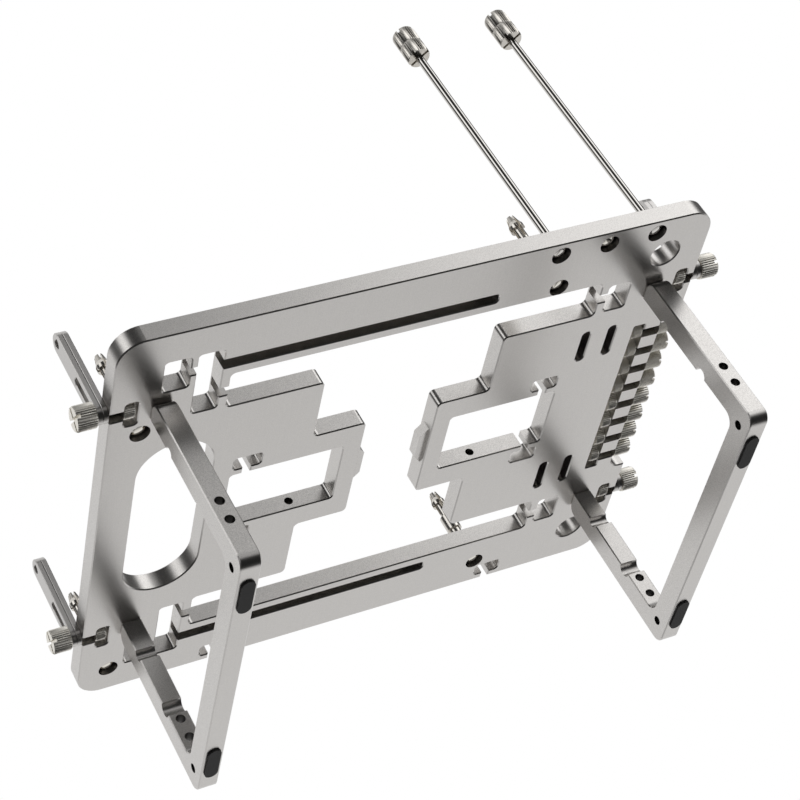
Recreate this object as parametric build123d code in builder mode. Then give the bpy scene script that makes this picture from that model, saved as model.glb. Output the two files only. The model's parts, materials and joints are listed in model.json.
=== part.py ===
from build123d import *

import os

# Open air test bench: a slotted base plate on two U legs, with board standoffs, support rods and clamp arms
os.makedirs("parts", exist_ok=True)

# Base plate outline and its height above the floor
plate_length = 230.0
plate_width = 190.0
plate_thick = 7.5
plate_corner = 10.0
stand_height = 80.0
plate_top = stand_height
plate_mid = stand_height - plate_thick / 2
plate_low = stand_height - plate_thick
plate_side = plate_length / 2
plate_end = plate_width / 2

# Web left on top of the narrow slots, which are milled from below
web_thick = 1.0
blind_depth = plate_thick - web_thick

# Small chamfer along the edges of the machined pieces
edge_break = 0.4

# The cut-outs mirror about a line a little right of the plate's middle
pattern_x = 1.0

# Open middle of the plate, and the two stepped tongues left in it
root_half = 73.2
beam_inner = 68.7
tongue_half = 52.5
step_x = 35.6
step_half = 24.5
tongue_x = 14.6
opening_corner = 2.0

# Tab on the end of each tongue
tab_reach = 3.2
tab_root_half = 9.2
tab_tip_half = 5.4
tab_thick = 4.0

# Window in each tongue, with a cross hole in its side walls
window_near = 22.1
window_far = 66.7
window_half = 14.2
window_corner = 1.5
wall_hole_x = 38.0
wall_hole_d = 3.3

# T slots beside the windows and along the back edge
tee_x = 60.6
tee_head = 10.8
tee_depth = 5.8
tee_stem = 3.1
tee_neck = 2.9
tee_corner = 1.4

# Long blind slots along the front and back beams
leaf_slot_y = 74.65
leaf_slot_width = 4.1
leaf_slot_end = 29.2

# Pockets at the ends of the open middle, joined by necks
pocket_corner = 1.5
pocket_near = 76.8
neck_y = 60.7
neck_width = 3.9
left_pocket_far = 86.2
left_pocket_low = 53.6
left_pocket_high = 81.7
small_pocket_near = 88.7
small_pocket_far = 98.2
small_pocket_low = 67.7
small_neck_width = 3.4
right_pocket_far = 85.8
right_pocket_high = 66.3

# Side T slots for the clamp nuts
clamp_y = 60.7
nut_slot_near = 105.8
nut_slot_far = 110.7
nut_slot_length = 11.2
clamp_slot = 4.1

# Hand hole at the left, blind slots and button holes at the right
hand_x = -87.8
hand_width = 29.1
hand_length = 79.4
short_slot_x = (74.0, 85.4)
short_slot_y = 36.4
short_slot_width = 3.5
short_slot_length = 15.1
button_hole_x = 97.9
button_hole_y = 77.6
button_hole_d = 11.8

# Comb of screw slots in the right edge, on a pitch that leaves a gap between the thumb screws
thumb_d = 9.0
comb_gap = 1.0
comb_pitch = thumb_d + comb_gap
comb_count = 8
comb_span = (comb_count - 1) * comb_pitch
comb_slot = 4.1
comb_recess_deep = 7.2
comb_tooth_length = 7.2
comb_channel_width = 5.0
comb_recess_x = plate_side - comb_recess_deep
comb_channel_far = comb_recess_x - comb_tooth_length
comb_channel_near = comb_channel_far - comb_channel_width
comb_channel_half = comb_span / 2 + 5.2
comb_recess_half = comb_span / 2 + 9.2
comb_recess_corner = 5.0
comb_recess_reach = comb_recess_deep + comb_recess_corner

# Mini board hole pattern, measured from its back left hole
board_x = -103.2
board_y = 82.2
board_span_x = 157.48
board_span_front = 154.94
board_span_left = 132.08
board_holes = [
    (board_x, board_y - board_span_left),
    (board_x, board_y),
    (board_x + board_span_x, board_y - board_span_front),
    (board_x + board_span_x, board_y),
]
standoff_names = ["left_front", "left_back", "right_front", "right_back"]

# Row of three screw places along the front edge, rods in the outer two
row_y = -89.4
row_first_x = 51.0
row_pitch = 20.0
rod_places = [(row_first_x, row_y), (row_first_x + 2 * row_pitch, row_y)]
rod_names = ["inner", "outer"]
spare_place = (row_first_x + row_pitch, row_y)

# Counterbores and screws seen in the plate's underside
screw_d = 3.0
hole_gap = 0.2
thread_gap = 0.1
counterbore_d = 7.6
counterbore_depth = 4.4
screw_head_d = 6.4
screw_head_thick = 2.4
screw_head_break = 0.4
driver_slot = 1.0
driver_depth = 0.9
screw_grip = 6.0
tap_run_out = 1.0
seat_z = plate_low + counterbore_depth
head_face_z = seat_z - screw_head_thick

# Board standoff with a split snap tip
neck_d = 4.6
neck_height = 9.5
collar_d = 6.2
collar_height = 7.0
post_d = 3.8
post_height = 6.6
barb_d = 5.6
barb_height = 1.6
barb_slope = 1.6
tip_low_d = 4.4
tip_top_d = 3.2
tip_height = 3.0
split_width = 0.9
split_start = 2.0

# Support rods and their stacked thumb nuts
rod_d = 2.0
thumb_length = 7.0
thumb_chamfer = 0.5
cross_slot = 1.1
cross_depth = 1.4
rod_nut_z = 110.0
rod_setback = 1.0

# Clamp arms, their screws and nuts
arm_thick = 2.0
arm_break = 0.25
arm_width = 7.6
arm_reach = 33.3
arm_slot_reach = 15.0
arm_slot = 3.4
arm_hole_d = 3.4
clamp_nut_d = 8.0
clamp_nut_length = 3.9
comb_nut_d = 7.6
comb_nut_length = 3.8

# U legs
leg_centre = 97.3
leg_thick = 7.5
leg_width = 130.0
leg_arm = 9.4
leg_outer_corner = 4.0
leg_inner_corner = 4.5
leg_hole_d = 3.5
face_hole_in = 8.5
face_hole_up = 5.6
arm_hole_up = (17.7, 25.7)
notch_up = (31.2, 56.3)
notch_r = (2.9, 2.3)

# Rubber feet let into the legs
foot_out = 0.8
foot_sunk = 1.2
foot_width = 5.0
foot_length = 16.0
foot_inset = 18.0
foot_y = leg_width / 2 - foot_inset
foot_gap = 0.1
leg_low = foot_out
leg_height = plate_low - leg_low

# Base plate
with BuildPart() as base_plate:
    with BuildSketch(Plane.XY.offset(plate_low)):
        RectangleRounded(plate_length, plate_width, plate_corner)
    extrude(amount=plate_thick)

    # Open middle with the stepped tongues
    with BuildSketch(Plane.XY.offset(plate_low)):
        with Locations((pattern_x, 0)):
            for side in (-1, 1):
                with Locations((0, side * (beam_inner + tongue_half) / 2)):
                    Rectangle(2 * root_half, beam_inner - tongue_half)
            Rectangle(2 * step_x, 2 * tongue_half)
        for side in (-1, 1):
            with Locations((pattern_x + side * (tongue_x + step_x) / 2, 0)):
                Rectangle(step_x - tongue_x, 2 * step_half, mode=Mode.SUBTRACT)
        open_corners = vertices()
        fillet(open_corners, opening_corner)
    extrude(amount=plate_thick, mode=Mode.SUBTRACT)

    # Windows in the tongues
    with BuildSketch(Plane.XY.offset(plate_low)):
        for side in (-1, 1):
            with Locations((pattern_x + side * (window_near + window_far) / 2, 0)):
                RectangleRounded(window_far - window_near, 2 * window_half, window_corner)
    extrude(amount=plate_thick, mode=Mode.SUBTRACT)

    # T slots that open into the windows, and the pair in the back edge
    with BuildSketch(Plane.XY.offset(plate_low)):
        for side in (-1, 1):
            for end in (-1, 1):
                head_y = window_half + tee_neck + tee_depth / 2
                with Locations((pattern_x + side * tee_x, end * head_y)):
                    RectangleRounded(tee_head, tee_depth, tee_corner)
                with Locations((pattern_x + side * tee_x, end * (window_half + tee_neck / 2))):
                    Rectangle(tee_stem, 2 * tee_neck)
            with Locations((pattern_x + side * tee_x, plate_end - tee_neck - tee_depth / 2)):
                RectangleRounded(tee_head, tee_depth, tee_corner)
            with Locations((pattern_x + side * tee_x, plate_end - tee_neck / 2)):
                Rectangle(tee_stem, 2 * tee_neck)
    extrude(amount=plate_thick, mode=Mode.SUBTRACT)

    # Pockets at the ends of the leaf slots and of the open middle
    with BuildSketch(Plane.XY.offset(plate_low)):
        for end in (-1, 1):
            pocket_x = pattern_x - (pocket_near + left_pocket_far) / 2
            with Locations((pocket_x, end * (left_pocket_low + left_pocket_high) / 2)):
                RectangleRounded(
                    left_pocket_far - pocket_near, left_pocket_high - left_pocket_low, pocket_corner
                )
            small_x = pattern_x - (small_pocket_near + small_pocket_far) / 2
            with Locations((small_x, end * (small_pocket_low + left_pocket_high) / 2)):
                RectangleRounded(
                    small_pocket_far - small_pocket_near, left_pocket_high - small_pocket_low, pocket_corner
                )
            right_x = pattern_x + (pocket_near + right_pocket_far) / 2
            with Locations((right_x, end * (left_pocket_low + right_pocket_high) / 2)):
                RectangleRounded(
                    right_pocket_far - pocket_near, right_pocket_high - left_pocket_low, pocket_corner
                )
    extrude(amount=plate_thick, mode=Mode.SUBTRACT)

    # Pockets for the clamp nuts
    with BuildSketch(Plane.XY.offset(plate_low)):
        for side in (-1, 1):
            for end in (-1, 1):
                with Locations((pattern_x + side * (nut_slot_near + nut_slot_far) / 2, end * clamp_y)):
                    RectangleRounded(nut_slot_far - nut_slot_near, nut_slot_length, pocket_corner)
    extrude(amount=plate_thick, mode=Mode.SUBTRACT)

    # Hand hole and button holes
    with BuildSketch(Plane.XY.offset(plate_low)):
        with Locations((hand_x, 0)):
            SlotOverall(hand_length, hand_width, rotation=90)
        for end in (-1, 1):
            with Locations((button_hole_x, end * button_hole_y)):
                Circle(button_hole_d / 2)
    extrude(amount=plate_thick, mode=Mode.SUBTRACT)

    # Comb channel and the recess in the right edge
    with BuildSketch(Plane.XY.offset(plate_low)):
        with Locations(((comb_channel_near + comb_channel_far) / 2, 0)):
            RectangleRounded(comb_channel_far - comb_channel_near, 2 * comb_channel_half, edge_break)
        with Locations((comb_recess_x + comb_recess_reach, 0)):
            RectangleRounded(2 * comb_recess_reach, 2 * comb_recess_half, comb_recess_corner)
    extrude(amount=plate_thick, mode=Mode.SUBTRACT)

    # Blind slots cut from below: leaf slots, necks, clamp slots, short slots and the comb
    with BuildSketch(Plane.XY.offset(plate_low)):
        for end in (-1, 1):
            slot_start = pattern_x - pocket_near - pocket_corner
            with Locations(((slot_start + leaf_slot_end) / 2, end * leaf_slot_y)):
                RectangleRounded(leaf_slot_end - slot_start, leaf_slot_width, pocket_corner)
            with Locations((pattern_x - (small_pocket_near + left_pocket_far) / 2, end * leaf_slot_y)):
                Rectangle(2 * (small_pocket_near - left_pocket_far), small_neck_width)
            for side in (-1, 1):
                with Locations((pattern_x + side * (root_half + pocket_near) / 2, end * neck_y)):
                    Rectangle(2 * (pocket_near - root_half), neck_width)
                shoulder_x = pattern_x + side * nut_slot_far
                with Locations(((shoulder_x + side * plate_side) / 2, end * clamp_y)):
                    Rectangle(plate_side - side * shoulder_x + nut_slot_far - nut_slot_near, clamp_slot)
            for slot_x in short_slot_x:
                with Locations((slot_x, end * short_slot_y)):
                    SlotOverall(short_slot_length, short_slot_width, rotation=90)
        with Locations(((comb_channel_far + comb_recess_x) / 2, 0)):
            with GridLocations(0, comb_pitch, 1, comb_count):
                Rectangle(comb_recess_x - comb_channel_far + 2 * edge_break, comb_slot)
    extrude(amount=blind_depth, mode=Mode.SUBTRACT)

    # Edge break along the top and bottom faces
    low_edges = faces().filter_by(Axis.Z).sort_by(Axis.Z)[0].edges()
    high_edges = faces().filter_by(Axis.Z).sort_by(Axis.Z)[-1].edges()
    chamfer(low_edges + high_edges, edge_break)

    # Tabs on the tongue ends
    with BuildSketch(Plane.XY.offset(plate_mid - tab_thick / 2)):
        for side in (-1, 1):
            root_x = pattern_x + side * tongue_x
            with BuildLine():
                Polyline(
                    (root_x + side * edge_break, -tab_root_half),
                    (root_x, -tab_root_half),
                    (root_x - side * tab_reach, -tab_tip_half),
                    (root_x - side * tab_reach, tab_tip_half),
                    (root_x, tab_root_half),
                    (root_x + side * edge_break, tab_root_half),
                    close=True,
                )
            make_face()
    extrude(amount=tab_thick)

    # Counterbored screw holes
    with Locations(*[(x, y, plate_low) for x, y in board_holes + rod_places + [spare_place]]):
        Cylinder(
            counterbore_d / 2,
            counterbore_depth,
            align=(Align.CENTER, Align.CENTER, Align.MIN),
            mode=Mode.SUBTRACT,
        )
        Cylinder(
            screw_d / 2 + hole_gap,
            plate_thick,
            align=(Align.CENTER, Align.CENTER, Align.MIN),
            mode=Mode.SUBTRACT,
        )

    # Cross holes through the window side walls
    for side in (-1, 1):
        with Locations(Plane.XZ.offset(0)):
            with Locations((pattern_x + side * wall_hole_x, plate_mid)):
                Cylinder(wall_hole_d / 2, 2 * (step_half + edge_break), mode=Mode.SUBTRACT)
base_plate.part.label = "base_plate"
export_step(base_plate.part, "parts/base_plate.step")

# U legs, one at each side
for side, name in ((-1, "left_leg"), (1, "right_leg")):
    leg_x = pattern_x + side * leg_centre
    with BuildPart() as leg:
        with BuildSketch(Plane.YZ.offset(leg_x - leg_thick / 2)):
            with Locations((0, leg_low + leg_height / 2)):
                Rectangle(leg_width, leg_height)
            fillet(vertices().group_by(Axis.Z)[0], leg_outer_corner)
            with Locations((0, plate_low)):
                Rectangle(leg_width - 2 * leg_arm, 2 * (leg_height - leg_arm), mode=Mode.SUBTRACT)
        extrude(amount=leg_thick)
        rung_z = leg_low + leg_arm
        inner = edges().filter_by(Axis.X).filter_by_position(Axis.Z, rung_z - edge_break, rung_z + edge_break)
        fillet(inner, leg_inner_corner)
        outer_edges = faces().filter_by(Axis.X).edges()
        contact_edges = edges().filter_by(Axis.X).group_by(Axis.Z)[-1]
        chamfer(outer_edges + contact_edges, edge_break)
        for end in (-1, 1):
            # Round notches across the inner side of each leg arm
            inner_y = end * (leg_width / 2 - leg_arm)
            for up, radius in zip(notch_up, notch_r):
                with BuildSketch(Plane.YZ.offset(leg_x - leg_thick)):
                    with Locations((inner_y, leg_low + up)):
                        Circle(radius)
                extrude(amount=2 * leg_thick, mode=Mode.SUBTRACT)
            # Hole through the face near each corner
            with BuildSketch(Plane.YZ.offset(leg_x - leg_thick)):
                with Locations((end * (leg_width / 2 - face_hole_in), leg_low + face_hole_up)):
                    Circle(leg_hole_d / 2)
            extrude(amount=2 * leg_thick, mode=Mode.SUBTRACT)
            # Two holes through each leg arm
            with BuildSketch(Plane.XZ.offset(-end * leg_width / 2)):
                with Locations(*[(leg_x, leg_low + up) for up in arm_hole_up]):
                    Circle(leg_hole_d / 2)
            extrude(amount=end * leg_arm, mode=Mode.SUBTRACT)
            # Pocket for the rubber foot
            with BuildSketch(Plane.XY.offset(leg_low)):
                with Locations((leg_x, end * foot_y)):
                    SlotOverall(foot_length + 2 * foot_gap, foot_width + 2 * foot_gap, rotation=90)
            extrude(amount=foot_sunk, mode=Mode.SUBTRACT)
    leg.part.label = name
    export_step(leg.part, f"parts/{name}.step")

# Rubber feet
for side, side_name in ((-1, "left"), (1, "right")):
    for end, end_name in ((-1, "front"), (1, "back")):
        with BuildPart() as foot:
            with BuildSketch(Plane.XY):
                with Locations((pattern_x + side * leg_centre, end * foot_y)):
                    SlotOverall(foot_length, foot_width, rotation=90)
            extrude(amount=foot_out + foot_sunk)
        foot.part.label = f"foot_{side_name}_{end_name}"
        export_step(foot.part, f"parts/{foot.part.label}.step")

# Board standoffs with split snap tips
low = (Align.CENTER, Align.CENTER, Align.MIN)
for (hole_x, hole_y), place in zip(board_holes, standoff_names):
    with BuildPart() as standoff:
        collar_z = plate_top + neck_height
        post_z = collar_z + collar_height
        barb_z = post_z + post_height
        slope_z = barb_z + barb_height
        tip_z = slope_z + barb_slope
        with Locations((hole_x, hole_y, plate_top)):
            Cylinder(neck_d / 2, neck_height, align=low)
        with Locations((hole_x, hole_y, collar_z)):
            Cylinder(collar_d / 2, collar_height, align=low)
        with Locations((hole_x, hole_y, post_z)):
            Cylinder(post_d / 2, post_height, align=low)
        with Locations((hole_x, hole_y, barb_z)):
            Cylinder(barb_d / 2, barb_height, align=low)
        with Locations((hole_x, hole_y, slope_z)):
            Cone(barb_d / 2, tip_low_d / 2, barb_slope, align=low)
        with Locations((hole_x, hole_y, tip_z)):
            Cone(tip_low_d / 2, tip_top_d / 2, tip_height, align=low)
        with Locations((hole_x, hole_y, post_z + split_start)):
            split_height = tip_z + tip_height - post_z
            Box(split_width, barb_d, split_height, align=low, mode=Mode.SUBTRACT)
            Box(barb_d, split_width, split_height, align=low, mode=Mode.SUBTRACT)
        with Locations((hole_x, hole_y, plate_top)):
            Cylinder(screw_d / 2 + thread_gap, screw_grip + tap_run_out, align=low, mode=Mode.SUBTRACT)
    standoff.part.label = f"standoff_{place}"
    export_step(standoff.part, f"parts/{standoff.part.label}.step")

# Slotted screws that hold the standoffs, and one spare in the front row
with BuildPart() as board_screws:
    with Locations(*[(x, y, head_face_z) for x, y in board_holes]):
        Cylinder(screw_head_d / 2, screw_head_thick, align=low)
    chamfer(edges().group_by(Axis.Z)[0], screw_head_break)
    with Locations(*[(x, y, head_face_z) for x, y in board_holes]):
        Cylinder(screw_d / 2, plate_top + screw_grip - head_face_z, align=low)
        Box(screw_head_d, driver_slot, driver_depth, align=low, mode=Mode.SUBTRACT)
board_screws.part.label = "board_screws"
export_step(board_screws.part, "parts/board_screws.step")

with BuildPart() as spare_screw:
    with Locations((*spare_place, head_face_z)):
        Cylinder(screw_head_d / 2, screw_head_thick, align=low)
    chamfer(edges().group_by(Axis.Z)[0], screw_head_break)
    with Locations((*spare_place, head_face_z)):
        Cylinder(screw_d / 2, plate_top - head_face_z, align=low)
        Box(screw_head_d, driver_slot, driver_depth, align=low, mode=Mode.SUBTRACT)
spare_screw.part.label = "spare_screw"
export_step(spare_screw.part, "parts/spare_screw.step")

# Support rods, each with a slotted head in its counterbore
nut_low_z = plate_low + rod_nut_z
nut_joint_z = nut_low_z + thumb_length
nut_high_z = nut_joint_z + thumb_length
for (rod_x, rod_y), place in zip(rod_places, rod_names):
    with BuildPart() as rod:
        with Locations((rod_x, rod_y, head_face_z)):
            Cylinder(screw_head_d / 2, screw_head_thick, align=low)
        chamfer(edges().group_by(Axis.Z)[0], screw_head_break)
        with Locations((rod_x, rod_y, head_face_z)):
            Cylinder(screw_d / 2, plate_top - head_face_z, align=low)
            Cylinder(rod_d / 2, nut_high_z - rod_setback - head_face_z, align=low)
            Box(screw_head_d, driver_slot, driver_depth, align=low, mode=Mode.SUBTRACT)
    rod.part.label = f"rod_{place}"
    export_step(rod.part, f"parts/{rod.part.label}.step")

    # Two thumb nuts stacked at the rod's end, each with a cross slot in its outer face
    for start_z, slot_z, level in (
        (nut_low_z, nut_low_z, "lower"),
        (nut_joint_z, nut_high_z - cross_depth, "upper"),
    ):
        with BuildPart() as rod_nut:
            with Locations((rod_x, rod_y, start_z)):
                Cylinder(thumb_d / 2, thumb_length, align=low)
            chamfer(edges().filter_by(GeomType.CIRCLE), thumb_chamfer)
            with Locations((rod_x, rod_y, start_z)):
                Cylinder(rod_d / 2 + thread_gap, thumb_length, align=low, mode=Mode.SUBTRACT)
            with Locations((rod_x, rod_y, slot_z)):
                Box(thumb_d, cross_slot, cross_depth, align=low, rotation=(0, 0, 45), mode=Mode.SUBTRACT)
                Box(thumb_d, cross_slot, cross_depth, align=low, rotation=(0, 0, -45), mode=Mode.SUBTRACT)
        rod_nut.part.label = f"rod_nut_{place}_{level}"
        export_step(rod_nut.part, f"parts/{rod_nut.part.label}.step")

# Clamp arms, thumb screws and nuts at the four side slots
for side, side_name in ((-1, "left"), (1, "right")):
    for end, end_name in ((-1, "front"), (1, "back")):
        corner = f"{side_name}_{end_name}"
        arm_y = end * clamp_y
        for layer, layer_name in ((0, "inner"), (1, "outer")):
            layer_x = side * (plate_side + layer * arm_thick)
            with BuildPart() as arm:
                with BuildSketch(Plane.YZ.offset(layer_x)):
                    with Locations((arm_y, plate_mid + arm_reach / 2)):
                        SlotCenterToCenter(arm_reach, arm_width, rotation=90)
                    with Locations((arm_y, plate_mid + arm_slot_reach / 2)):
                        SlotCenterToCenter(arm_slot_reach, arm_slot, rotation=90, mode=Mode.SUBTRACT)
                    with Locations((arm_y, plate_mid + arm_reach)):
                        Circle(arm_hole_d / 2, mode=Mode.SUBTRACT)
                extrude(amount=side * arm_thick)
                chamfer(faces().filter_by(Axis.X).edges(), arm_break)
            arm.part.label = f"arm_{corner}_{layer_name}"
            export_step(arm.part, f"parts/{arm.part.label}.step")

        head_x = side * (plate_side + 2 * arm_thick)
        shoulder_x = pattern_x + side * nut_slot_far
        nut_end_x = shoulder_x - side * clamp_nut_length
        with BuildPart() as clamp_screw:
            with BuildSketch(Plane.YZ.offset(head_x)):
                with Locations((arm_y, plate_mid)):
                    Circle(thumb_d / 2)
            extrude(amount=side * thumb_length)
            chamfer(edges().filter_by(GeomType.CIRCLE), thumb_chamfer)
            with BuildSketch(Plane.YZ.offset(nut_end_x)):
                with Locations((arm_y, plate_mid)):
                    Circle(screw_d / 2)
            extrude(amount=head_x - nut_end_x)
            with BuildSketch(Plane.YZ.offset(head_x + side * (thumb_length - cross_depth))):
                with Locations((arm_y, plate_mid)):
                    Rectangle(thumb_d, cross_slot, rotation=30)
                    Rectangle(thumb_d, cross_slot, rotation=120)
            extrude(amount=side * cross_depth, mode=Mode.SUBTRACT)
        clamp_screw.part.label = f"clamp_screw_{corner}"
        export_step(clamp_screw.part, f"parts/{clamp_screw.part.label}.step")

        with BuildPart() as clamp_nut:
            with BuildSketch(Plane.YZ.offset(nut_end_x)):
                with Locations((arm_y, plate_mid)):
                    Circle(clamp_nut_d / 2)
                    Circle(screw_d / 2 + thread_gap, mode=Mode.SUBTRACT)
            extrude(amount=side * clamp_nut_length)
        clamp_nut.part.label = f"clamp_nut_{corner}"
        export_step(clamp_nut.part, f"parts/{clamp_nut.part.label}.step")

# Thumb screws kept in the comb
comb_nut_x = comb_channel_far - comb_nut_length
with BuildPart() as comb_screws:
    with Locations((0, 0, plate_mid)):
        with GridLocations(0, comb_pitch, 1, comb_count):
            with Locations((comb_recess_x, 0, 0)):
                Cylinder(thumb_d / 2, thumb_length, rotation=(0, 90, 0), align=low)
    chamfer(edges().filter_by(GeomType.CIRCLE), thumb_chamfer)
    with Locations((0, 0, plate_mid)):
        with GridLocations(0, comb_pitch, 1, comb_count):
            with Locations((comb_nut_x, 0, 0)):
                Cylinder(screw_d / 2, comb_recess_x - comb_nut_x, rotation=(0, 90, 0), align=low)
            with Locations((comb_recess_x + thumb_length - cross_depth / 2, 0, 0)):
                Box(cross_depth, cross_slot, thumb_d, rotation=(-20, 0, 0), mode=Mode.SUBTRACT)
comb_screws.part.label = "comb_screws"
export_step(comb_screws.part, "parts/comb_screws.step")

with BuildPart() as comb_nuts:
    with Locations((0, 0, plate_mid)):
        with GridLocations(0, comb_pitch, 1, comb_count):
            with Locations((comb_nut_x, 0, 0)):
                Cylinder(comb_nut_d / 2, comb_nut_length, rotation=(0, 90, 0), align=low)
                Cylinder(
                    screw_d / 2 + thread_gap,
                    comb_nut_length,
                    rotation=(0, 90, 0),
                    align=low,
                    mode=Mode.SUBTRACT,
                )
comb_nuts.part.label = "comb_nuts"
export_step(comb_nuts.part, "parts/comb_nuts.step")
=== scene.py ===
# %% [markdown]
# This lesson dresses an open air test bench: a slotted aluminium plate on two U legs that
# holds a bare computer board in the open. The measured solids are loaded as they are, and
# Blender adds the finishes, the knurled thumb screws, the light and the camera.

# %% Load the bench
import bmesh
import bpy
import json
import math
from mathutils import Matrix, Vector


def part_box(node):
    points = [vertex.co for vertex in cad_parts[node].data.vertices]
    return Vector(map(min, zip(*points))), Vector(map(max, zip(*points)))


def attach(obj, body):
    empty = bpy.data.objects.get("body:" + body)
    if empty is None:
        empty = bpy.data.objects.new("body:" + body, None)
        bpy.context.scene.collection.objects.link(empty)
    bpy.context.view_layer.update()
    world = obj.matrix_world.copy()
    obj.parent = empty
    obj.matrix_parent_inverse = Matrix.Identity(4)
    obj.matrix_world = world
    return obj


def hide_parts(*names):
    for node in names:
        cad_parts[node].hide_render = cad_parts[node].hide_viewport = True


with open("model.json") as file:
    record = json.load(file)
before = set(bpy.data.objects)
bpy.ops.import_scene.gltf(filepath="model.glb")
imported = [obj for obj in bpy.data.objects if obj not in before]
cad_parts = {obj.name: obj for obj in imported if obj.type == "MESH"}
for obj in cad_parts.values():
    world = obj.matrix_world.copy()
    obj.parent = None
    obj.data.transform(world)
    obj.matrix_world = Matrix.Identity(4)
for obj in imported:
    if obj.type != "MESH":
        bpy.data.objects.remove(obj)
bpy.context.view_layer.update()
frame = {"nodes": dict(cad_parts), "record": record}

MM = 0.001
nodes = frame["nodes"]
print("solids loaded:", len(nodes))

# %% [markdown]
# The photograph looks up at the bench from below its left front foot. The camera stands at
# the measured place, turned and zoomed as measured from the board hole pattern, so the
# render and the photograph line up without any shift.

# %% Camera
CAMERA_PLACE = (-0.346928, -0.626136, -0.383518)
CAMERA_TURN = (128.12831, 26.3541, -10.968985)
LENS_LENGTH = 104.3746
FILM_WIDTH = 36.0
bpy.ops.object.select_all(action="DESELECT")
bpy.ops.object.camera_add(location=CAMERA_PLACE, rotation=[math.radians(a) for a in CAMERA_TURN])
camera = bpy.context.object
camera.name = "photo_camera"
camera.data.lens = LENS_LENGTH
camera.data.sensor_width = FILM_WIDTH
camera.data.clip_start = 0.01
camera.data.clip_end = 50.0
bpy.context.scene.camera = camera
print("camera at", [round(v, 3) for v in camera.location])

# %% [markdown]
# Light and finishes are both worked out by Math nodes that do one sum each. Wired by hand
# they fill the screen, so this helper adds one to a tree, wires it to sockets or sets its
# numbers, and hands back the result. A long sum then reads like arithmetic.

# %% Sums in a node tree


def calculate(tree, operation, *terms):
    """One Math node in a tree, on sockets or numbers, and its result."""
    math_node = tree.nodes.new("ShaderNodeMath")
    math_node.operation = operation
    for socket, term in zip(math_node.inputs, terms):
        if isinstance(term, (int, float)):
            socket.default_value = term
        else:
            tree.links.new(term, socket)
    return math_node.outputs["Value"]


# %% [markdown]
# Bare metal shows its surroundings more than its own colour. The studio is painted in the
# world: a pale sweep behind the bench with a flag at either side that dims it, soft boxes
# at the front and the left, a low glow all round as from a pale floor, and black cloth on
# the camera's side, which draws the dark lines along the chamfers and rounded corners.
# Each patch is round and named by the direction it lies in, and fades softly at its rim.

# %% Patches of light
bpy.context.scene.view_settings.view_transform = "Standard"
world = bpy.data.worlds.new("studio")
bpy.context.scene.world = world
world.use_nodes = True
studio = world.node_tree
studio.nodes.clear()
direction = studio.nodes.new("ShaderNodeTexCoord").outputs["Generated"]


def soft_patch(axis, inner, outer, strength):
    """A round patch of light: full inside the inner angle and gone at the outer one, in degrees."""
    dot = studio.nodes.new("ShaderNodeVectorMath")
    dot.operation = "DOT_PRODUCT"
    studio.links.new(direction, dot.inputs[0])
    dot.inputs[1].default_value = Vector(axis).normalized()
    fade = studio.nodes.new("ShaderNodeMapRange")
    fade.interpolation_type = "SMOOTHSTEP"
    studio.links.new(dot.outputs["Value"], fade.inputs["Value"])
    fade.inputs["From Min"].default_value = math.cos(math.radians(outer))
    fade.inputs["From Max"].default_value = math.cos(math.radians(inner))
    fade.inputs["To Max"].default_value = strength
    return fade.outputs["Result"]


CLOTH_GLOW = 0.02
sweep = soft_patch((0.30, 0.78, 0.553), 68, 99, 1.0)
right_flag = soft_patch((0.86, -0.02, 0.52), 18, 42, 0.92)
left_flag = soft_patch((-0.86, 0.12, 0.50), 8, 32, 0.95)
flags = calculate(studio, "MAXIMUM", right_flag, left_flag)
sweep = calculate(studio, "MULTIPLY", sweep, calculate(studio, "SUBTRACT", 1.0, flags))
high_box = soft_patch((0.64, -0.56, 0.49), 6, 22, 1.95)
side_box = soft_patch((0.66, -0.73, 0.16), 6, 24, 1.6)
low_box = soft_patch((0.33, -0.81, 0.47), 4, 14, 0.5)
front_boxes = calculate(studio, "ADD", calculate(studio, "MAXIMUM", high_box, side_box), low_box)
left_box = soft_patch((-0.68, -0.44, 0.58), 5, 20, 1.7)
boxes = calculate(studio, "MAXIMUM", front_boxes, left_box)
over_the_floor = soft_patch((0, 0, 1), 100, 117, 0.42)
under_the_sky = soft_patch((0, 0, -1), 95, 108, 1.0)
floor_glow = calculate(studio, "MULTIPLY", over_the_floor, under_the_sky)
light = calculate(studio, "MAXIMUM", calculate(studio, "MAXIMUM", sweep, boxes), floor_glow)
light = calculate(studio, "ADD", light, CLOTH_GLOW)
print("studio nodes:", len(studio.nodes))

# %% [markdown]
# The bench is shown on white paper. The camera, and a ray that has passed through clear
# material, see that paper, while the metal and all the other rays see the painted studio.
# The studio's sweep is a shade below the paper, as a sheet that hangs further away.

# %% White paper behind the bench
SHEET_WHITE = (0.8, 0.8, 0.8, 1)
PAPER_WHITE = (1, 1, 1, 1)
studio_light = studio.nodes.new("ShaderNodeBackground")
studio_light.inputs["Color"].default_value = SHEET_WHITE
studio.links.new(light, studio_light.inputs["Strength"])
white_paper = studio.nodes.new("ShaderNodeBackground")
white_paper.inputs["Color"].default_value = PAPER_WHITE
rays = studio.nodes.new("ShaderNodeLightPath").outputs
sees_paper = calculate(studio, "MAXIMUM", rays["Is Camera Ray"], rays["Is Transmission Ray"])
choose = studio.nodes.new("ShaderNodeMixShader")
studio.links.new(sees_paper, choose.inputs["Fac"])
studio.links.new(studio_light.outputs["Background"], choose.inputs[1])
studio.links.new(white_paper.outputs["Background"], choose.inputs[2])
world_out = studio.nodes.new("ShaderNodeOutputWorld")
studio.links.new(choose.outputs["Shader"], world_out.inputs["Surface"])
print("world nodes:", len(studio.nodes))

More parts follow.
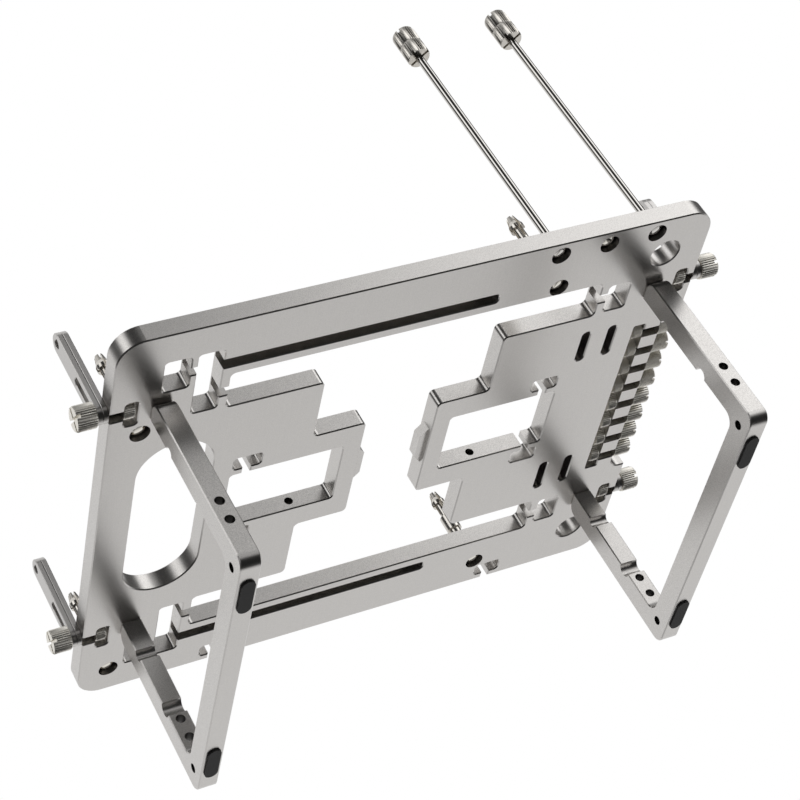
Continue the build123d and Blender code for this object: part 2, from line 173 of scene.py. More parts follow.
# %% [markdown]
# The bench stands on a pale floor that keeps its shadow. The photograph is taken from below
# the feet, so the floor is there only for a camera above it: from underneath it is clear,
# and it lets reflections and shadow rays pass.

# %% Floor
FLOOR_SIZE = 6.0
FLOOR_DROP = 0.2 * MM
bpy.ops.object.select_all(action="DESELECT")
bpy.ops.mesh.primitive_plane_add(size=FLOOR_SIZE, location=(0, 0, -FLOOR_DROP))
floor = bpy.context.object
floor.name = "floor"
paper = bpy.data.materials.new("floor_paper")
paper.use_nodes = True
sheet = paper.node_tree
sheet_shader = sheet.nodes["Principled BSDF"]
sheet_shader.inputs["Base Color"].default_value = (0.96, 0.96, 0.95, 1)
sheet_shader.inputs["Roughness"].default_value = 0.9
clear = sheet.nodes.new("ShaderNodeBsdfTransparent")
seen_by = sheet.nodes.new("ShaderNodeLightPath")
seen_from = sheet.nodes.new("ShaderNodeNewGeometry")
above = calculate(sheet, "SUBTRACT", seen_by.outputs["Is Camera Ray"], seen_from.outputs["Backfacing"])
above.node.use_clamp = True
floor_mix = sheet.nodes.new("ShaderNodeMixShader")
sheet.links.new(above, floor_mix.inputs["Fac"])
sheet.links.new(clear.outputs["BSDF"], floor_mix.inputs[1])
sheet.links.new(sheet_shader.outputs["BSDF"], floor_mix.inputs[2])
sheet.links.new(floor_mix.outputs["Shader"], sheet.nodes["Material Output"].inputs["Surface"])
floor.data.materials.append(paper)
print("floor:", floor.dimensions[:])

# %% [markdown]
# Three effects are shared by the finishes: the sparkle of blasted metal, brushed lines and
# painted shade in the tapped holes. Each is a node group that takes a colour and gives it back changed.
# What they have in common comes first: the group's sockets, noise with a grain size in
# millimetres, the way a face looks, and a colour made lighter or darker.

# %% What the groups share


def new_group(name, numbers, results):
    """A node group that takes a colour and some numbers and gives the named results."""
    group = bpy.data.node_groups.new(name, "ShaderNodeTree")
    group.interface.new_socket("Color", in_out="INPUT", socket_type="NodeSocketColor")
    for number in numbers:
        group.interface.new_socket(number, in_out="INPUT", socket_type="NodeSocketFloat")
    for result, kind in results.items():
        group.interface.new_socket(result, in_out="OUTPUT", socket_type=kind)
    return group, group.nodes.new("NodeGroupInput"), group.nodes.new("NodeGroupOutput")


def grains(tree, vector, size_mm, detail, roughness):
    """Noise whose grains have about the given size."""
    noise = tree.nodes.new("ShaderNodeTexNoise")
    noise.inputs["Detail"].default_value = detail
    noise.inputs["Roughness"].default_value = roughness
    tree.links.new(vector, noise.inputs["Vector"])
    tree.links.new(calculate(tree, "DIVIDE", 1 / MM, size_mm), noise.inputs["Scale"])
    return noise.outputs["Fac"]


def looks_up(tree):
    """How far a face looks up: the Z of its normal."""
    facing = tree.nodes.new("ShaderNodeNewGeometry")
    split = tree.nodes.new("ShaderNodeSeparateXYZ")
    tree.links.new(facing.outputs["Normal"], split.inputs["Vector"])
    return split.outputs["Z"]


def scaled_colour(tree, colour, factor):
    """A colour made lighter or darker by a factor."""
    tint = tree.nodes.new("ShaderNodeVectorMath")
    tint.operation = "SCALE"
    tree.links.new(colour, tint.inputs[0])
    tree.links.new(factor, tint.inputs["Scale"])
    return tint.outputs["Vector"]


# %% [markdown]
# Blasted metal sparkles because its surface is a field of tiny dents. Fine noise varies the
# colour a little and gives a height for the Bump node. On the level faces, which are
# brushed too, the sparkle is calmer.

# %% Blast sparkle group
SPARKLE_ON_LEVEL = 0.3
blast, blast_in, blast_out = new_group(
    "blast_sparkle", ("Grain Size", "Contrast"), {"Color": "NodeSocketColor", "Height": "NodeSocketFloat"}
)
spot = blast.nodes.new("ShaderNodeTexCoord").outputs["Object"]
dents = grains(blast, spot, blast_in.outputs["Grain Size"], detail=1.5, roughness=0.6)
calm = blast.nodes.new("ShaderNodeMapRange")
blast.links.new(calculate(blast, "ABSOLUTE", looks_up(blast)), calm.inputs["Value"])
calm.inputs["To Min"].default_value = 1.0
calm.inputs["To Max"].default_value = SPARKLE_ON_LEVEL
centred = calculate(blast, "SUBTRACT", dents, 0.5)
calmed = calculate(blast, "MULTIPLY", centred, calm.outputs["Result"])
swing = calculate(blast, "MULTIPLY_ADD", calmed, blast_in.outputs["Contrast"], 1.0)
blast.links.new(scaled_colour(blast, blast_in.outputs["Color"], swing), blast_out.inputs["Color"])
blast.links.new(dents, blast_out.inputs["Height"])
print("group:", blast.name, len(blast.nodes), "nodes")

# %% [markdown]
# The big faces of the plate are brushed along its depth before they are anodised. Noise
# stretched along Y gives the fine lines, and they only show on faces that look up or down.

# %% Brushed grain group
LINE_SQUEEZE = 0.012
brush, brush_in, brush_out = new_group(
    "brushed_grain", ("Line Width", "Contrast"), {"Color": "NodeSocketColor"}
)
stretch = brush.nodes.new("ShaderNodeMapping")
stretch.inputs["Scale"].default_value = (1.0, LINE_SQUEEZE, 1.0)
spot = brush.nodes.new("ShaderNodeTexCoord").outputs["Object"]
brush.links.new(spot, stretch.inputs["Vector"])
line_width = brush_in.outputs["Line Width"]
lines = grains(brush, stretch.outputs["Vector"], line_width, detail=4.0, roughness=0.65)
upward = looks_up(brush)
levelness = calculate(brush, "MULTIPLY", upward, upward)
masked = calculate(brush, "MULTIPLY", calculate(brush, "SUBTRACT", lines, 0.5), levelness)
swing = calculate(brush, "MULTIPLY_ADD", masked, brush_in.outputs["Contrast"], 1.0)
brush.links.new(scaled_colour(brush, brush_in.outputs["Color"], swing), brush_out.inputs["Color"])
print("group:", brush.name, len(brush.nodes), "nodes")

# %% [markdown]
# The screw holes in the legs are tapped, and a tapped wall swallows the light between its
# threads. The threads are finer than the picture shows, so this group paints that shade into
# the colour: it darkens what lies inside the holes, found by the distance to each hole's axis.
# Each leg has two holes in each arm, and one in its side near each lower corner.

# %% Painted shade in tapped holes group
PLATE_MIDDLE_X = 1.0 * MM
LEG_FROM_MIDDLE = 97.3 * MM
ARM_HOLE_HEIGHTS = (18.5 * MM, 26.5 * MM)
SIDE_HOLE_Y = 56.5 * MM
SIDE_HOLE_HEIGHT = 6.4 * MM
HOLE_REACH = 1.79 * MM
hole_shade, hole_shade_in, hole_shade_out = new_group("tapped_hole_shade", ("Painted Shade",), {"Color": "NodeSocketColor"})
spot = hole_shade.nodes.new("ShaderNodeTexCoord")
along = hole_shade.nodes.new("ShaderNodeSeparateXYZ")
hole_shade.links.new(spot.outputs["Object"], along.inputs["Vector"])


def inside_hole(across, up, height):
    """1 inside a hole whose axis lies at the given height, else 0."""
    rise = calculate(hole_shade, "SUBTRACT", up, height)
    across_squared = calculate(hole_shade, "MULTIPLY", across, across)
    rise_squared = calculate(hole_shade, "MULTIPLY", rise, rise)
    reach = calculate(hole_shade, "SQRT", calculate(hole_shade, "ADD", across_squared, rise_squared))
    return calculate(hole_shade, "LESS_THAN", reach, HOLE_REACH)


from_middle = calculate(hole_shade, "ABSOLUTE", calculate(hole_shade, "SUBTRACT", along.outputs["X"], PLATE_MIDDLE_X))
from_leg = calculate(hole_shade, "SUBTRACT", from_middle, LEG_FROM_MIDDLE)
from_side_hole = calculate(hole_shade, "SUBTRACT", calculate(hole_shade, "ABSOLUTE", along.outputs["Y"]), SIDE_HOLE_Y)
in_hole = inside_hole(from_side_hole, along.outputs["Z"], SIDE_HOLE_HEIGHT)
for height in ARM_HOLE_HEIGHTS:
    in_arm_hole = inside_hole(from_leg, along.outputs["Z"], height)
    in_hole = calculate(hole_shade, "MAXIMUM", in_hole, in_arm_hole)
# Painted shade: inside the holes the colour is darkened by the given amount.
painted_shade_amount = calculate(hole_shade, "MULTIPLY", in_hole, hole_shade_in.outputs["Painted Shade"])
kept = calculate(hole_shade, "SUBTRACT", 1.0, painted_shade_amount)
hole_shade.links.new(scaled_colour(hole_shade, hole_shade_in.outputs["Color"], kept), hole_shade_out.inputs["Color"])
print("group:", hole_shade.name, len(hole_shade.nodes), "nodes")

# %% [markdown]
# Each finish is one Principled shader with the groups in front of it. The anodised plate
# and legs are warm mid grey and half matt, the arms a little finer. The nickel of the
# screws comes in three states: as turned, knurled, which is rougher and painted lighter, a
# painted brightness that stands in for the light its teeth catch, and polished for the
# small domed heads. The rods are drawn bright. Brushed lines are on the anodised faces only.

# %% Metal finishes
METAL_DENT = 0.02 * MM
LINE_WIDTH_MM = 0.15
# How much painted shade darkens the inside of the tapped holes.
HOLE_PAINTED_SHADE = 0.75


def add_dents(tree, colour, grain_mm, sparkle, bump, dent_depth):
    """Puts the blast group in a material, with its bump, and hands back the dented colour."""
    dents_node = tree.nodes.new("ShaderNodeGroup")
    dents_node.node_tree = blast
    dents_node.inputs["Color"].default_value = (*colour, 1)
    dents_node.inputs["Grain Size"].default_value = grain_mm
    dents_node.inputs["Contrast"].default_value = sparkle
    relief = tree.nodes.new("ShaderNodeBump")
    relief.inputs["Strength"].default_value = bump
    relief.inputs["Distance"].default_value = dent_depth
    tree.links.new(dents_node.outputs["Height"], relief.inputs["Height"])
    tree.links.new(relief.outputs["Normal"], tree.nodes["Principled BSDF"].inputs["Normal"])
    return dents_node.outputs["Color"]


def metal_finish(name, colour, roughness, sparkle=0.0, grain_mm=0.2, line_contrast=0.0, bump=0.0):
    """A metal with blast sparkle, and brushed lines on its level faces if asked."""
    finish = bpy.data.materials.new(name)
    finish.use_nodes = True
    tree = finish.node_tree
    shader = tree.nodes["Principled BSDF"]
    shader.inputs["Metallic"].default_value = 1.0
    shader.inputs["Roughness"].default_value = roughness
    lines_node = tree.nodes.new("ShaderNodeGroup")
    lines_node.node_tree = brush
    lines_node.inputs["Line Width"].default_value = LINE_WIDTH_MM
    lines_node.inputs["Contrast"].default_value = line_contrast
    dented = add_dents(tree, colour, grain_mm, sparkle, bump, METAL_DENT)
    tree.links.new(dented, lines_node.inputs["Color"])
    tree.links.new(lines_node.outputs["Color"], shader.inputs["Base Color"])
    return finish


anodised = metal_finish(
    "anodised_aluminium", (0.65, 0.632, 0.612), 0.28, sparkle=1.1, grain_mm=0.22, line_contrast=0.12, bump=0.2
)
arm_grey = metal_finish("arm_plate", (0.60, 0.585, 0.57), 0.28, sparkle=0.5, grain_mm=0.22, bump=0.2)
nickel = metal_finish("nickel", (0.74, 0.71, 0.66), 0.22, sparkle=0.05, bump=0.05)
rod_steel = metal_finish("rod_steel", (0.70, 0.68, 0.65), 0.12, sparkle=0.04, bump=0.05)
# Knurled nickel: rougher, with a base colour painted near white, a painted brightness for the light its teeth
# catch.
knurled_nickel_painted_bright = metal_finish("knurled_nickel_painted_bright", (0.97, 0.94, 0.87), 0.40, sparkle=0.1, grain_mm=0.3, bump=0.1)
polished_nickel = metal_finish("polished_nickel", (0.80, 0.77, 0.71), 0.07)

# The anodised finish also takes the painted shade in the tapped holes of the legs.
legs_tree = anodised.node_tree
hole_shade_node = legs_tree.nodes.new("ShaderNodeGroup")
hole_shade_node.node_tree = hole_shade
hole_shade_node.inputs["Painted Shade"].default_value = HOLE_PAINTED_SHADE
base_socket = legs_tree.nodes["Principled BSDF"].inputs["Base Color"]
legs_tree.links.new(base_socket.links[0].from_socket, hole_shade_node.inputs["Color"])
legs_tree.links.new(hole_shade_node.outputs["Color"], base_socket)
print("metals:", anodised.name, arm_grey.name, nickel.name, rod_steel.name)

# %% [markdown]
# The feet are moulded rubber, matt black with a coarse skin. The same dents make it, larger
# and deeper than on metal.

# %% Rubber and the solids' finishes
RUBBER_DENT = 0.05 * MM
rubber = bpy.data.materials.new("rubber")
rubber.use_nodes = True
rubber_shader = rubber.node_tree.nodes["Principled BSDF"]
rubber_shader.inputs["Roughness"].default_value = 0.62
skin = add_dents(rubber.node_tree, (0.028, 0.027, 0.027), 0.35, 1.2, 0.5, RUBBER_DENT)
rubber.node_tree.links.new(skin, rubber_shader.inputs["Base Color"])
finishes = {
    "anodised_aluminium": anodised,
    "arm_plate": arm_grey,
    "nickel": nickel,
    "rod_steel": rod_steel,
    "rubber": rubber,
}
slot_of_node = {row["node"]: row["material_slot"] for row in frame["record"]["subparts"]}
for name, solid in nodes.items():
    solid.material_slots[0].material = finishes[slot_of_node[name]]
print("finishes:", sorted(finishes))

# %% [markdown]
# By hand, faces and edges are picked with the mouse. In code they are picked by where they
# lie and where they look, so a step still finds its faces when a size changes. The Z of a
# face's normal tells whether it is level or upright, and two places count as one when they
# are closer than a hair.

# %% Picking by place
LEVEL = 0.9
UPRIGHT = 0.5
HAIR = 0.01 * MM


def pick_vertices(test):
    """In edit mode, selects only the vertices whose place passes the test."""
    bpy.ops.mesh.select_mode(type="VERT")
    bpy.ops.mesh.select_all(action="DESELECT")
    shape = bmesh.from_edit_mesh(bpy.context.object.data)
    for vertex in shape.verts:
        vertex.select_set(test(vertex.co))
    shape.select_flush_mode()
    bmesh.update_edit_mesh(bpy.context.object.data)


def pick_faces(test):
    """In edit mode, selects only the faces whose centre and normal pass the test."""
    bpy.ops.mesh.select_mode(type="FACE")
    bpy.ops.mesh.select_all(action="DESELECT")
    shape = bmesh.from_edit_mesh(bpy.context.object.data)
    for shape_face in shape.faces:
        shape_face.select_set(test(shape_face.calc_center_median(), shape_face.normal))
    bmesh.update_edit_mesh(bpy.context.object.data)


def draw_in(shrink):
    """Scales what is picked toward the Z axis."""
    bpy.ops.transform.resize(value=(shrink, shrink, 1), center_override=(0, 0, 0))


def draw_out(rise, shrink=None):
    """Extrudes the picked faces along Z, and draws them in toward the axis if asked."""
    bpy.ops.mesh.extrude_region_move(TRANSFORM_OT_translate={"value": (0, 0, rise)})
    if shrink:
        draw_in(shrink)


# %% [markdown]
# The thumb screws and thumb nuts are the parts a hand turns. On the real ones a toothed wheel
# presses straight knurling into a turned blank. Here every second upright edge of a
# many-sided cylinder is pushed inward, so the rim becomes a row of teeth, and at both ends
# the tips of the teeth are drawn in to the grooves, as the turned chamfer cuts them. A bump
# in the material would look flat at the outline, so the teeth are real.

# %% Straight knurl blank
TIP_BREAK = 0.45 * MM
KNURL_DEPTH = 0.26 * MM
KNURL_TEETH = 34
EDGES_PER_TOOTH = 2


def add_cylinder(name, sides, radius, depth, middle_z):
    """A round bar on the Z axis, with its place in its mesh."""
    bpy.ops.object.select_all(action="DESELECT")
    bpy.ops.mesh.primitive_cylinder_add(vertices=sides, radius=radius, depth=depth, location=(0, 0, middle_z))
    bar = bpy.context.object
    bar.name = name
    bpy.ops.object.transform_apply(location=True, rotation=True, scale=True)
    return bar


def in_groove(place):
    """Whether a place on the rim lies at the bottom of a groove between two teeth."""
    edge_turn = 2 * math.pi / (EDGES_PER_TOOTH * KNURL_TEETH)
    return round(math.atan2(place.y, place.x) / edge_turn) % EDGES_PER_TOOTH == 0


def knurled_blank(name, radius, length):
    """A straight knurled cylinder on the Z axis, standing on the origin."""
    blank = add_cylinder(name, EDGES_PER_TOOTH * KNURL_TEETH, radius, length - 2 * TIP_BREAK, length / 2)
    shrink = (radius - KNURL_DEPTH) / radius
    bpy.ops.object.mode_set(mode="EDIT")
    pick_vertices(in_groove)
    draw_in(shrink)
    for up, end in ((1, length), (-1, 0.0)):
        pick_faces(lambda centre, normal: normal.z * up > LEVEL)
        draw_out(up * TIP_BREAK)
        pick_vertices(lambda place: abs(place.z - end) < HAIR and not in_groove(place))
        draw_in(shrink)
    bpy.ops.object.mode_set(mode="OBJECT")
    return blank


print("teeth on a straight knurl:", KNURL_TEETH)

# %% [markdown]
# Four of the comb's screws are knurled in diamonds. The rim of a cylinder is divided into
# small squares, each square is poked to a cross of four triangles, and the squares' own
# edges are dissolved: what is left between the crosses is a net of diamonds. A second poke,
# a little outward, raises each diamond to a point.

# %% Diamond knurl blank
DIAMOND_COLUMNS = 36
DIAMOND_RAISE = 0.24 * MM


def pick_square_edges(blank, row_height, length):
    """Selects the edges of the rim's squares, but not those round the two caps."""
    bpy.ops.mesh.select_mode(type="EDGE")
    bpy.ops.mesh.select_all(action="DESELECT")
    lowest, highest = TIP_BREAK + HAIR, length - TIP_BREAK - HAIR
    for edge in bmesh.from_edit_mesh(blank.data).edges:
        start, stop = (vertex.co for vertex in edge.verts)
        rise = abs(stop.z - start.z)
        upright = abs(rise - row_height) < HAIR
        between_rows = rise < HAIR and lowest < start.z < highest
        if upright or between_rows:
            edge.select_set(True)
    bmesh.update_edit_mesh(blank.data)


def diamond_blank(name, radius, length):
    """A diamond knurled cylinder on the Z axis, standing on the origin."""
    rim_radius = radius - DIAMOND_RAISE
    rim_length = length - 2 * TIP_BREAK
    rows = round(rim_length / (2 * math.pi * rim_radius / DIAMOND_COLUMNS))
    row_height = rim_length / rows
    blank = add_cylinder(name, DIAMOND_COLUMNS, rim_radius, row_height, TIP_BREAK + row_height / 2)
    bpy.ops.object.mode_set(mode="EDIT")
    for row in range(1, rows):
        pick_faces(lambda centre, normal: normal.z > LEVEL)
        draw_out(row_height)
    pick_faces(lambda centre, normal: abs(normal.z) < UPRIGHT)
    bpy.ops.mesh.poke(offset=0.0)
    pick_square_edges(blank, row_height, length)
    bpy.ops.mesh.dissolve_edges(use_verts=False)
    pick_faces(lambda centre, normal: abs(normal.z) < UPRIGHT)
    bpy.ops.mesh.poke(offset=DIAMOND_RAISE)
    for up in (1, -1):
        pick_faces(lambda centre, normal: normal.z * up > LEVEL)
        draw_out(up * TIP_BREAK, shrink=(rim_radius - DIAMOND_RAISE) / rim_radius)
    bpy.ops.object.mode_set(mode="OBJECT")
    return blank


print("columns of diamonds:", DIAMOND_COLUMNS)

# %% [markdown]
# A screw is a blank with a shank: the cap's face is inset to the shank's size and drawn out.
# Slots and bores are cut with a box or a cylinder by a Boolean modifier, as a saw and a drill
# would, because their edges stay crisp and the teeth beside them stay whole. A slot's box
# reaches as far out of the face as into it, and past the head's rim at both ends.

# %% Shanks, slots and bores
THUMB_RADIUS = 4.5 * MM
THUMB_LENGTH = 7.0 * MM
SHANK_RADIUS = 1.5 * MM
BORE_RADIUS = 1.6 * MM
SLOT_WIDTH = 1.1 * MM
SLOT_DEPTH = 1.4 * MM
SLOT_LENGTH = 2.2 * THUMB_RADIUS
ROUND_SIDES = 48
THROUGH = 3


def make_active(piece):
    """Selects one piece and nothing else."""
    bpy.ops.object.select_all(action="DESELECT")
    piece.select_set(True)
    bpy.context.view_layer.objects.active = piece


def draw_shank(piece, cap_radius, shank_length):
    """Draws a round shank down from the cap at the origin."""
    make_active(piece)
    bpy.ops.object.mode_set(mode="EDIT")
    pick_faces(lambda centre, normal: normal.z < -LEVEL and abs(centre.z) < HAIR)
    bpy.ops.mesh.inset(thickness=cap_radius - SHANK_RADIUS, depth=0.0)
    draw_out(-shank_length)
    bpy.ops.object.mode_set(mode="OBJECT")


def cut_away(piece, cutter):
    """Takes the cutter's shape out of the piece, and the cutter goes."""
    make_active(piece)
    bpy.ops.object.modifier_add(type="BOOLEAN")
    trim = piece.modifiers[-1]
    trim.operation = "DIFFERENCE"
    trim.solver = "EXACT"
    trim.object = cutter
    bpy.ops.object.modifier_apply(modifier=trim.name)
    bpy.data.objects.remove(cutter)


def saw_slot(piece, place, turn, size):
    """Saws one slot, a box of the given size at a place, turned in degrees."""
    bpy.ops.object.select_all(action="DESELECT")
    turned = [math.radians(a) for a in turn]
    bpy.ops.mesh.primitive_cube_add(size=1.0, location=place, rotation=turned, scale=size)
    cut_away(piece, bpy.context.object)


def drill(piece, length):
    """Drills the shank's bore right through a blank of the given length."""
    bpy.ops.object.select_all(action="DESELECT")
    bpy.ops.mesh.primitive_cylinder_add(
        vertices=ROUND_SIDES, radius=BORE_RADIUS, depth=THROUGH * length, location=(0, 0, length / 2)
    )
    cut_away(piece, bpy.context.object)


print("thumb head, mm:", round(2 * THUMB_RADIUS / MM, 2), "by", round(THUMB_LENGTH / MM, 2))

# %% [markdown]
# A blank is modelled once and copied to its places, each copy with a mesh of its own, so
# that one screw can be sawn without the others. The finished copy takes the place of the
# plain solid it stands for.

# %% Setting pieces down
SMOOTH_DEGREES = 24


def set_down(blank, name, place, turn):
    """A copy of a blank with its own mesh, turned in degrees and put at its place for good."""
    copy = blank.copy()
    copy.data = blank.data.copy()
    copy.name = name
    bpy.context.collection.objects.link(copy)
    make_active(copy)
    copy.rotation_euler = [math.radians(a) for a in turn]
    copy.location = place
    bpy.ops.object.transform_apply(location=True, rotation=True, scale=True)
    return copy


def finish_piece(piece, node, look=knurled_nickel_painted_bright):
    """Smooths the round faces and hands the piece to the bench in place of its plain solid."""
    make_active(piece)
    bpy.ops.object.shade_smooth_by_angle(angle=math.radians(SMOOTH_DEGREES))
    piece.data.materials.clear()
    piece.data.materials.append(look)
    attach(piece, "root")
    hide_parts(node)


# %% [markdown]
# The four clamp screws stand out at the sides. Their places are read from the solids they
# replace, so the teeth end just where the plain cylinders ended. A cross is sawn in the face
# of each.

# %% Clamp screws
CLAMP_SLOT_TURNS = (30, 120)
corners = [(side, end) for side in ("left", "right") for end in ("front", "back")]
low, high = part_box("clamp_screw_right_front")
clamp_blank = knurled_blank("clamp_blank", THUMB_RADIUS, THUMB_LENGTH)
draw_shank(clamp_blank, THUMB_RADIUS - KNURL_DEPTH, high.x - low.x - THUMB_LENGTH)
for side, end in corners:
    node = f"clamp_screw_{side}_{end}"
    low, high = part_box(node)
    middle = (low + high) / 2
    outward = 1 if side == "right" else -1
    face_x = high.x if side == "right" else low.x
    head_place = (face_x - outward * THUMB_LENGTH, middle.y, middle.z)
    screw = set_down(clamp_blank, node + "_knurled", head_place, (0, outward * 90, 0))
    for slot_turn in CLAMP_SLOT_TURNS:
        slot_size = (2 * SLOT_DEPTH, SLOT_LENGTH, SLOT_WIDTH)
        saw_slot(screw, (face_x, middle.y, middle.z), (slot_turn, 0, 0), slot_size)
    finish_piece(screw, node)
bpy.data.objects.remove(clamp_blank)
print("clamp screws made:", len(corners))

# %% [markdown]
# Each clamp screw ends in a knurled nut that sits in a pocket of the plate and cannot turn.
# The nut is a short blank with a bore for the shank.

# %% Clamp nuts
low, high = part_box("clamp_nut_right_front")
nut_length = high.x - low.x
nut_blank = knurled_blank("nut_blank", (high.y - low.y) / 2, nut_length)
drill(nut_blank, nut_length)
for side, end in corners:
    node = f"clamp_nut_{side}_{end}"
    low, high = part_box(node)
    middle = (low + high) / 2
    nut = set_down(nut_blank, node + "_knurled", (low.x, middle.y, middle.z), (0, 90, 0))
    finish_piece(nut, node)
bpy.data.objects.remove(nut_blank)
print("clamp nuts made:", len(corners))

# %% [markdown]
# Two thumb nuts are stacked on each rod, their slotted faces outward. The bore is a little
# wider than the rod, so each nut can be turned and set.

# %% Rod nuts
ROD_SLOT_TURNS = (45, -45)
rod_nuts = [(rod, level) for rod in ("inner", "outer") for level in ("lower", "upper")]
rod_blank = knurled_blank("rod_nut_blank", THUMB_RADIUS, THUMB_LENGTH)
drill(rod_blank, THUMB_LENGTH)
for rod, level in rod_nuts:
    node = f"rod_nut_{rod}_{level}"
    low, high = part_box(node)
    middle = (low + high) / 2
    nut = set_down(rod_blank, node + "_knurled", (middle.x, middle.y, low.z), (0, 0, 0))
    slot_z = high.z if level == "upper" else low.z
    for slot_turn in ROD_SLOT_TURNS:
        slot_size = (SLOT_LENGTH, SLOT_WIDTH, 2 * SLOT_DEPTH)
        saw_slot(nut, (middle.x, middle.y, slot_z), (0, 0, slot_turn), slot_size)
    finish_piece(nut, node, look=nickel)
bpy.data.objects.remove(rod_blank)
print("rod nuts made:", len(rod_nuts))

# %% [markdown]
# Eight thumb screws wait in the comb. The four toward the front are knurled in diamonds and
# the four toward the back are straight, each with one sawn slot for a coin. A nut of the
# same knurl rides on every shank, inside the comb's channel.

# %% Comb screws and nuts
COMB_COUNT = 8
COMB_PITCH = 10.0 * MM
COMB_SLOT_TURN = -20
low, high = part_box("comb_screws")
comb_head_x = high.x - THUMB_LENGTH
comb_z = (low.z + high.z) / 2
comb_shank = comb_head_x - low.x
nut_low, nut_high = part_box("comb_nuts")
comb_nut_length = nut_high.x - nut_low.x
comb_nut_radius = (nut_high.z - nut_low.z) / 2
for index in range(COMB_COUNT):
    in_front = index < COMB_COUNT / 2
    make_blank = diamond_blank if in_front else knurled_blank
    cap_radius = THUMB_RADIUS - (2 * DIAMOND_RAISE if in_front else KNURL_DEPTH)
    comb_y = (index - (COMB_COUNT - 1) / 2) * COMB_PITCH
    blank = make_blank("comb_blank", THUMB_RADIUS, THUMB_LENGTH)
    draw_shank(blank, cap_radius, comb_shank)
    screw = set_down(blank, f"comb_screw_{index + 1}", (comb_head_x, comb_y, comb_z), (0, 90, 0))
    bpy.data.objects.remove(blank)
    slot_size = (2 * SLOT_DEPTH, SLOT_WIDTH, SLOT_LENGTH)
    saw_slot(screw, (high.x, comb_y, comb_z), (COMB_SLOT_TURN, 0, 0), slot_size)
    finish_piece(screw, "comb_screws")
    blank = make_blank("comb_nut_blank", comb_nut_radius, comb_nut_length)
    drill(blank, comb_nut_length)
    nut = set_down(blank, f"comb_nut_{index + 1}", (nut_low.x, comb_y, comb_z), (0, 90, 0))
    bpy.data.objects.remove(blank)
    finish_piece(nut, "comb_nuts")
print("comb screws made:", COMB_COUNT)

# %% [markdown]
# The screws in the counterbores have polished heads with a flat crown, which catches the
# pale sweep in the middle, and a driver notch at the rim on both sides. A cylinder's cap is
# drawn down in rings that shrink as a quarter circle does, until the crown is left. The two
# rods are the same screw drawn long.

# %% Domed head
HEAD_RADIUS = 3.2 * MM
HEAD_WALL = 1.6 * MM
HEAD_DOME = 1.5 * MM
DOME_RINGS = 6
CROWN_SWING = 62
SEAT_Z = 76.9 * MM
CROWN_Z = SEAT_Z - HEAD_WALL - HEAD_DOME * math.sin(math.radians(CROWN_SWING))
DRIVER_NOTCH = 0.9 * MM
NOTCH_START = 1.7 * MM
NOTCH_DEPTH = 1.3 * MM


def draw_dome():
    """Draws the picked cap down in rings that shrink as a quarter circle does."""
    ring_radius, ring_z = HEAD_RADIUS, 0.0
    for ring in range(1, DOME_RINGS + 1):
        swing = math.radians(CROWN_SWING) * ring / DOME_RINGS
        next_radius, next_z = HEAD_RADIUS * math.cos(swing), -HEAD_DOME * math.sin(swing)
        draw_out(next_z - ring_z, shrink=next_radius / ring_radius)
        ring_radius, ring_z = next_radius, next_z


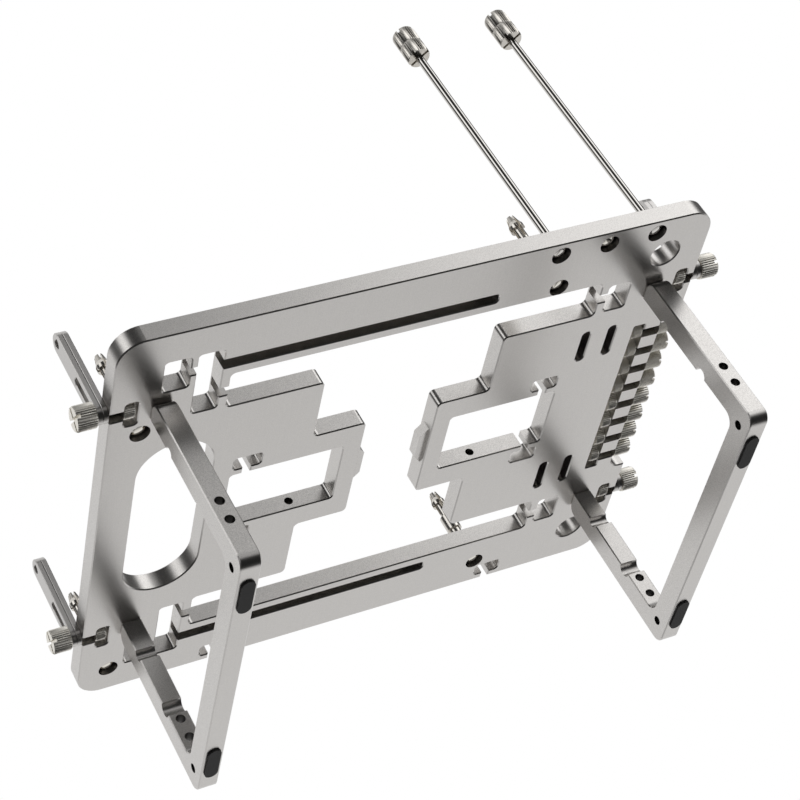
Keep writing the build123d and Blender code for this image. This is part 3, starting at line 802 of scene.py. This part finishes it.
def domed_screw(name, place_x, place_y, top_z, slot_turn, rod_top_z=None):
    """A domed screw that hangs head down in its counterbore, drawn on as a rod if asked."""
    screw = add_cylinder(name, ROUND_SIDES, HEAD_RADIUS, HEAD_WALL, -HEAD_WALL / 2)
    bpy.ops.object.mode_set(mode="EDIT")
    pick_faces(lambda centre, normal: normal.z < -LEVEL)
    draw_dome()
    pick_faces(lambda centre, normal: normal.z > LEVEL)
    bpy.ops.mesh.inset(thickness=HEAD_RADIUS - SHANK_RADIUS, depth=0.0)
    draw_out(top_z - SEAT_Z)
    if rod_top_z:
        draw_out(rod_top_z - top_z)
    bpy.ops.object.mode_set(mode="OBJECT")
    screw.location = (place_x, place_y, SEAT_Z)
    bpy.ops.object.transform_apply(location=True, rotation=True, scale=True)
    across = Vector((math.cos(math.radians(slot_turn)), math.sin(math.radians(slot_turn)), 0))
    for way in (1, -1):
        notch_place = Vector((place_x, place_y, CROWN_Z)) + way * (NOTCH_START + HEAD_RADIUS) * across
        notch_size = (2 * HEAD_RADIUS, DRIVER_NOTCH, 2 * NOTCH_DEPTH)
        saw_slot(screw, notch_place, (0, 0, slot_turn), notch_size)
    return screw


# %% [markdown]
# Four of these screws hold the standoffs on the board's hole pattern, one waits in the row
# beside the rods, and two are the rods. Each is turned a little differently, as a hand
# leaves them.

# %% Domed screws and rods
PLATE_TOP_Z = 80.0 * MM
BOARD_X, BOARD_Y = -103.2 * MM, 82.2 * MM
BOARD_SPAN_X, BOARD_SPAN_LEFT, BOARD_SPAN_RIGHT = 157.48 * MM, 132.08 * MM, 154.94 * MM
SPARE_TURN = 55
ROD_TURNS = {"inner": 50, "outer": -23}
board_holes = {
    "left_front": (BOARD_X, BOARD_Y - BOARD_SPAN_LEFT, -23),
    "left_back": (BOARD_X, BOARD_Y, -23),
    "right_front": (BOARD_X + BOARD_SPAN_X, BOARD_Y - BOARD_SPAN_RIGHT, -20),
    "right_back": (BOARD_X + BOARD_SPAN_X, BOARD_Y, -26),
}
board_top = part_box("board_screws")[1].z
for corner, (hole_x, hole_y, slot_turn) in board_holes.items():
    screw = domed_screw(f"board_screw_{corner}", hole_x, hole_y, board_top, slot_turn)
    finish_piece(screw, "board_screws", look=polished_nickel)
low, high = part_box("spare_screw")
middle = (low + high) / 2
spare = domed_screw("spare_screw_domed", middle.x, middle.y, high.z, SPARE_TURN)
finish_piece(spare, "spare_screw", look=polished_nickel)
for rod, slot_turn in ROD_TURNS.items():
    low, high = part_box(f"rod_{rod}")
    middle = (low + high) / 2
    long_screw = domed_screw(f"rod_{rod}_drawn", middle.x, middle.y, PLATE_TOP_Z, slot_turn, rod_top_z=high.z)
    finish_piece(long_screw, f"rod_{rod}", look=rod_steel)
print("domed screws and rods made:", len(board_holes) + 1 + len(ROD_TURNS))
